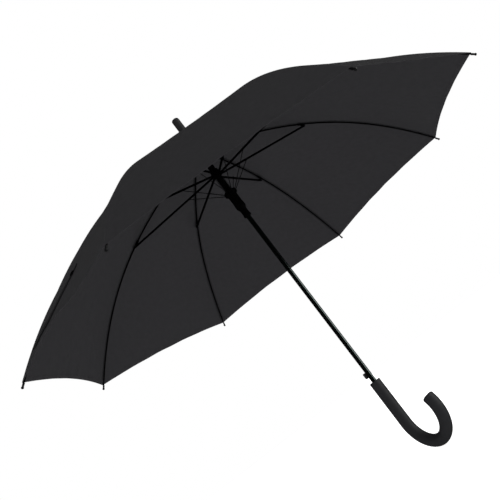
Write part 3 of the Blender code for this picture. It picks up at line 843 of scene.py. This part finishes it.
def add_lower_runner():
    """Slotted flange on the long sleeve that the spring sits in, with a waist and a rim at its end."""
    pocket = SPRING_MEAN + SPRING_WIRE + 0.00045
    guide = UPPER_TUBE + 0.0004
    lip = SHAFT + 0.0005
    outline = [(pocket, 0.0070), (pocket, -POCKET_DEPTH), (guide, -POCKET_DEPTH), (guide, -LIP_TOP)]
    outline += [(lip, -LIP_TOP), (lip, -SLEEVE_END), (0.0088, -SLEEVE_END), (0.0094, -0.0712)]
    outline += [(0.0096, -0.0706), (0.0096, -0.0668), (0.0094, -0.0661), (0.0089, -0.0654)]
    outline += [(0.0087, -0.0646), (0.0087, -0.0524)]
    outline += [(0.0089, -0.0514), (0.0094, -0.0503), (0.0105, -0.0478), (0.0116, -0.0458), (0.0121, -0.0446)]
    outline += [(0.0124, -0.0430), (0.0124, -0.0350), (0.0122, -0.0338), (0.0119, -0.0322), (0.0118, -0.0306)]
    outline += [(0.0118, -0.0084), (0.0120, -0.0072), (0.0128, -0.0060), (0.0140, -0.0051), (0.0158, -0.0045)]
    outline += [(0.0163, -0.0041), (0.0165, -0.0035), (0.0165, 0.0030), (0.0163, 0.0037), (0.0158, 0.0042)]
    outline += [(0.0140, 0.0054), (0.0126, 0.0066), (0.0120, 0.0070)]
    slot = block((LOWER_PIVOT_RADIUS - 0.0022, -0.0014, -0.009), (0.03, 0.0014, 0.009))
    sleeve = boolean(lathe("lower_sleeve", outline, 96), "DIFFERENCE", around(slot))
    made = piece("lower_sleeve", raised(sleeve, LOWER_LEVEL), "lower_runner", NYLON)
    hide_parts("lower_runner")


def add_crown():
    """Notched disc that the ribs hang on, as deep as the design's."""
    bore = SHAFT + RUNNING_GAP
    groove = 0.0007
    pivot = CROWN_PIVOT_RADIUS
    outline = [(bore, -0.016), (0.0070, -0.016), (0.0073, -0.0156), (0.0078, -0.0068), (0.0082, -0.0060)]
    outline += [(0.0140, -0.0047), (0.0148, -0.0042), (0.0152, -0.0034), (0.0152, 0.0030), (0.0148, 0.0035)]
    outline += [(pivot + groove, 0.0035), (pivot + groove, -groove), (pivot - groove, -groove)]
    outline += [(pivot - groove, 0.0035), (bore, 0.0035)]
    half_slot = RIB_WIRE + 0.0005
    slot = block((pivot - 0.0033, -half_slot, -0.02), (0.03, half_slot, 0.02))
    crown = boolean(lathe("notched_crown", outline, 96), "DIFFERENCE", around(slot))
    made = piece("notched_crown", raised(crown, CROWN_LEVEL), "root", NYLON)
    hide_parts("crown")
    wire = lathe("rib_wire", [(pivot + a, b) for a, b in circle(0.0005, 10)], 72)
    made = piece("rib_wire", raised(wire, CROWN_LEVEL), "root", SPRING)
    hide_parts("crown_wire")


def add_opening_spring():
    """Round-wire coil, wound at one even pitch."""
    top = UPPER_LEVEL - 0.0070
    floor = LOWER_LEVEL - POCKET_DEPTH + 0.0004
    per_turn = 28
    steps_round = SPRING_TURNS * per_turn
    rise = top - floor - 2 * SPRING_WIRE
    stations = []
    for i in range(steps_round + 1):
        angle = 2 * math.pi * i / per_turn
        outward = Vector((math.cos(angle), math.sin(angle), 0))
        centre = outward * SPRING_MEAN + Vector((0, 0, floor + SPRING_WIRE + rise * i / steps_round))
        stations.append((centre, outward, Vector((0, 0, 1)), 1))
    coil = sweep("main_coil", stations, circle(SPRING_WIRE, 8), 60)
    made = piece("main_coil", coil, "upper_runner", SPRING)
    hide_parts("opening_spring")
    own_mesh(made)


def add_button():
    """Press block with three grip grooves, on the bar that carries the catch's nose."""
    low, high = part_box("release_button")
    half = 0.0018
    head = block((low[0], low[1], low[2]), (-0.0086, high[1], BUTTON_LEVEL + 0.0062), 0.0012)
    neck = block((-0.0096, -half, BUTTON_LEVEL - 0.0050), (-0.0020, half, BUTTON_LEVEL + 0.0045))
    nose = high[2] - 0.0028
    bar = block((-0.0038, -half, BUTTON_LEVEL - 0.0050), (-0.0018, half, high[2]))
    catch = block((-0.0072, -half, nose), (-0.0020, half, high[2]))
    grooves = []
    for i in (-1, 0, 1):
        groove = side_disc(low[0] - 0.0001, BUTTON_LEVEL - 0.0005 + 0.0026 * i, 0.0005, -0.0031, 0.0031, 16)
        grooves.append(groove)
    button = boolean(boolean(head, "UNION", neck, bar, catch), "DIFFERENCE", *grooves)
    made = piece("press_button", button, "release_button", CHARCOAL)
    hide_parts("release_button")


# Handle, shaft and ferrule


def add_handle():
    """Soft-touch crook: straight grip, bend, short straight tail with a rounded end."""
    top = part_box("handle")[1][2]
    bore = (SHAFT + 0.0003) / HANDLE
    bend_level = CROOK_RADIUS + HANDLE
    edge = 0.0012
    points = [(0, top - 0.010), (0, top)]
    scales = [bore, bore]
    for i in range(5):
        turn = math.pi / 2 * i / 4
        points.append((0, top - edge * (1 - math.cos(turn))))
        scales.append(1 - edge / HANDLE * (1 - math.sin(turn)))
    points += [(0, z) for z in steps(top - 0.012, bend_level, 5)[:-1]]
    scales += [1] * 5
    bend_steps = 56
    for i in range(bend_steps + 1):
        turn = CROOK_SWEEP * i / bend_steps
        points.append((CROOK_RADIUS * (1 - math.cos(turn)), bend_level - CROOK_RADIUS * math.sin(turn)))
        scales.append(1)
    along = Vector((math.sin(CROOK_SWEEP), -math.cos(CROOK_SWEEP)))
    end = Vector(points[-1])
    rounding = 0.0042
    for i in range(8):
        turn = math.pi / 2 * i / 7
        points.append(tuple(end + along * (CROOK_TAIL + rounding * math.sin(turn))))
        scales.append(1 - rounding / HANDLE * (1 - math.cos(turn)) * 0.9)
    stations = []
    spots = [Vector((x, 0, z)) for x, z in points]
    side = Vector((0, 1, 0))
    for i, spot in enumerate(spots):
        before = spots[max(i - 1, 0)]
        after = spots[min(i + 1, len(spots) - 1)]
        direction = after - before
        if i < 12 or direction.length < 1e-6:
            direction = Vector((0, 0, -1))
        stations.append((spot, side, direction.normalized().cross(side), scales[i]))
    mesh = sweep("crook_handle", stations, circle(HANDLE, 48), 40)
    made = piece("crook_handle", mesh, "root", SOFT_TOUCH)
    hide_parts("handle")


def add_shaft():
    low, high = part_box("shaft")
    edge = 0.0002
    outline = [
        (SHAFT - SHAFT_WALL, low[2]),
        (SHAFT, low[2]),
        (SHAFT, high[2] - edge),
        (SHAFT - edge, high[2]),
        (SHAFT - SHAFT_WALL, high[2]),
    ]
    pin_hole = side_disc(0, UPPER_LEVEL + 0.0286, 0.0015, -0.02, 0.02)
    nose_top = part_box("release_button")[1][2]
    catch_slot = block((-0.010, -0.0023, BUTTON_LEVEL - 0.007), (-0.0015, 0.0023, nose_top + 0.0017))
    tube = boolean(lathe("steel_shaft", outline, 64), "DIFFERENCE", pin_hole, catch_slot)
    made = piece("steel_shaft", tube, "root", LACQUER)
    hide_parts("shaft")


def add_ferrule():
    low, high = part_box("ferrule")
    bore = SHAFT + 0.0003
    base = low[2]
    top = high[2]
    outline = [(bore, base), (0.0122, base), (0.0124, base + 0.0003), (0.0124, base + 0.0038)]
    outline += [(0.0119, base + 0.0046), (FERRULE + 0.0006, base + 0.0068), (FERRULE + 0.0001, base + 0.010)]
    outline += [(FERRULE, base + 0.020), (FERRULE - 0.0003, top - 0.0055)]
    for i in range(9):
        turn = math.pi / 2 * i / 8
        outline.append((FERRULE - 0.0035 + 0.0031 * math.cos(turn), top - 0.0046 + 0.0046 * math.sin(turn)))
    outline += [(0, top), (0, top - 0.010), (bore, top - 0.010)]
    made = piece("tip_ferrule", lathe("tip_ferrule", outline, 56, 40), "root", CHARCOAL)
    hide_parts("ferrule")


# CAD pieces that stay


def dress_frame():
    """Materials of the three CAD nodes that are shown as they are, and an own mesh for the latch spring."""
    for name, finish in (("canopy_cap", TAPE_BLACK), ("stop_pin", SPRING), ("latch_spring", SPRING)):
        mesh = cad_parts[name].data
        mesh.materials.clear()
        mesh.materials.append(finish)
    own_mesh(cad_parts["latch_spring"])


# Studio

CAMERA_AZIMUTH = math.radians(-36.23)
CAMERA_ELEVATION = math.radians(-13.90)
CAMERA_ROLL = math.radians(-37.67)
CAMERA_DISTANCE = 1.5213
CAMERA_AIM = Vector((0.0169, 0.0231, 0.5875))
CAMERA_LENS = 46.87
CAMERA_SHIFT = (-0.0496, -0.0386)


def add_camera():
    """Below the rim, to the hook's right, looking up into the canopy, with the shaft leaning across."""
    towards = Vector((math.cos(CAMERA_ELEVATION) * math.cos(CAMERA_AZIMUTH), 0, math.sin(CAMERA_ELEVATION)))
    towards.y = math.cos(CAMERA_ELEVATION) * math.sin(CAMERA_AZIMUTH)
    right = (-towards).cross(Vector((0, 0, 1))).normalized()
    up = right.cross(-towards)
    axes = Matrix((right, up, towards)).transposed() @ Matrix.Rotation(CAMERA_ROLL, 3, "Z")
    data = bpy.data.cameras.new("camera")
    data.lens = CAMERA_LENS
    data.sensor_width = 36
    data.shift_x, data.shift_y = CAMERA_SHIFT
    camera = bpy.data.objects.new("camera", data)
    camera.matrix_world = Matrix.Translation(CAMERA_AIM + towards * CAMERA_DISTANCE) @ axes.to_4x4()
    bpy.context.scene.collection.objects.link(camera)
    bpy.context.scene.camera = camera


def add_lamp(name, place, aim, size, power, diffuse=True):
    data = bpy.data.lights.new(name, "AREA")
    data.shape = "RECTANGLE"
    data.size, data.size_y = size
    data.energy = power
    lamp = bpy.data.objects.new(name, data)
    lamp.location = place
    lamp.rotation_euler = (Vector(aim) - Vector(place)).to_track_quat("-Z", "Y").to_euler()
    lamp.visible_diffuse = diffuse
    bpy.context.scene.collection.objects.link(lamp)


def add_studio():
    """White surroundings that black gloss doesn't mirror, white floor, two soft boxes, a wide strip light."""
    scene = bpy.context.scene
    scene.view_settings.view_transform = "Standard"
    world = bpy.data.worlds.new("studio")
    world.use_nodes = True
    sky = world.node_tree.nodes["Background"]
    sky.inputs["Color"].default_value = (1, 1, 1, 1)
    path = world.node_tree.nodes.new("ShaderNodeLightPath")
    strength = world.node_tree.nodes.new("ShaderNodeMapRange")
    strength.inputs["To Min"].default_value = 1.0
    strength.inputs["To Max"].default_value = 0.04
    world.node_tree.links.new(path.outputs["Is Glossy Ray"], strength.inputs["Value"])
    world.node_tree.links.new(strength.outputs["Result"], sky.inputs["Strength"])
    scene.world = world
    bm = bmesh.new()
    bmesh.ops.create_circle(bm, cap_ends=True, radius=12, segments=96)
    mesh = bpy.data.meshes.new("studio_floor")
    bm.to_mesh(mesh)
    bm.free()
    floor = bpy.data.objects.new("studio_floor", mesh)
    floor.location = (0, 0, -0.0005)
    floor.visible_glossy = False
    scene.collection.objects.link(floor)
    paper = Finish("studio_paper", (0.86, 0.86, 0.86), 0.9, Specular_IOR_Level=0.1, Emission_Strength=0.90)
    paper.shader.inputs["Emission Color"].default_value = (1, 1, 1, 1)
    paper.tint(paper.noise("Object", 0.6, 2), 1.0, 1.01)
    mesh.materials.append(paper.material)
    add_lamp("soft_box_above", (-1.2, -1.0, 2.6), (0, 0, 0.7), (1.6, 1.6), 0.8)
    add_lamp("soft_box_low", (1.6, -1.9, 0.9), (0, 0, 0.5), (0.5, 1.6), 1.0)
    add_lamp("strip_light", (1.6, 1.25, 0.80), (0, 0, 0.6), (0.8, 1.5), 75, diffuse=False)


def main():
    add_canopy()
    add_seam_tapes()
    add_closing_strap()
    add_ribs()
    add_rib_fittings()
    add_crown()
    add_stretchers()
    add_upper_runner()
    add_lower_runner()
    add_opening_spring()
    add_button()
    add_handle()
    add_shaft()
    add_ferrule()
    dress_frame()
    add_camera()
    add_studio()


main()
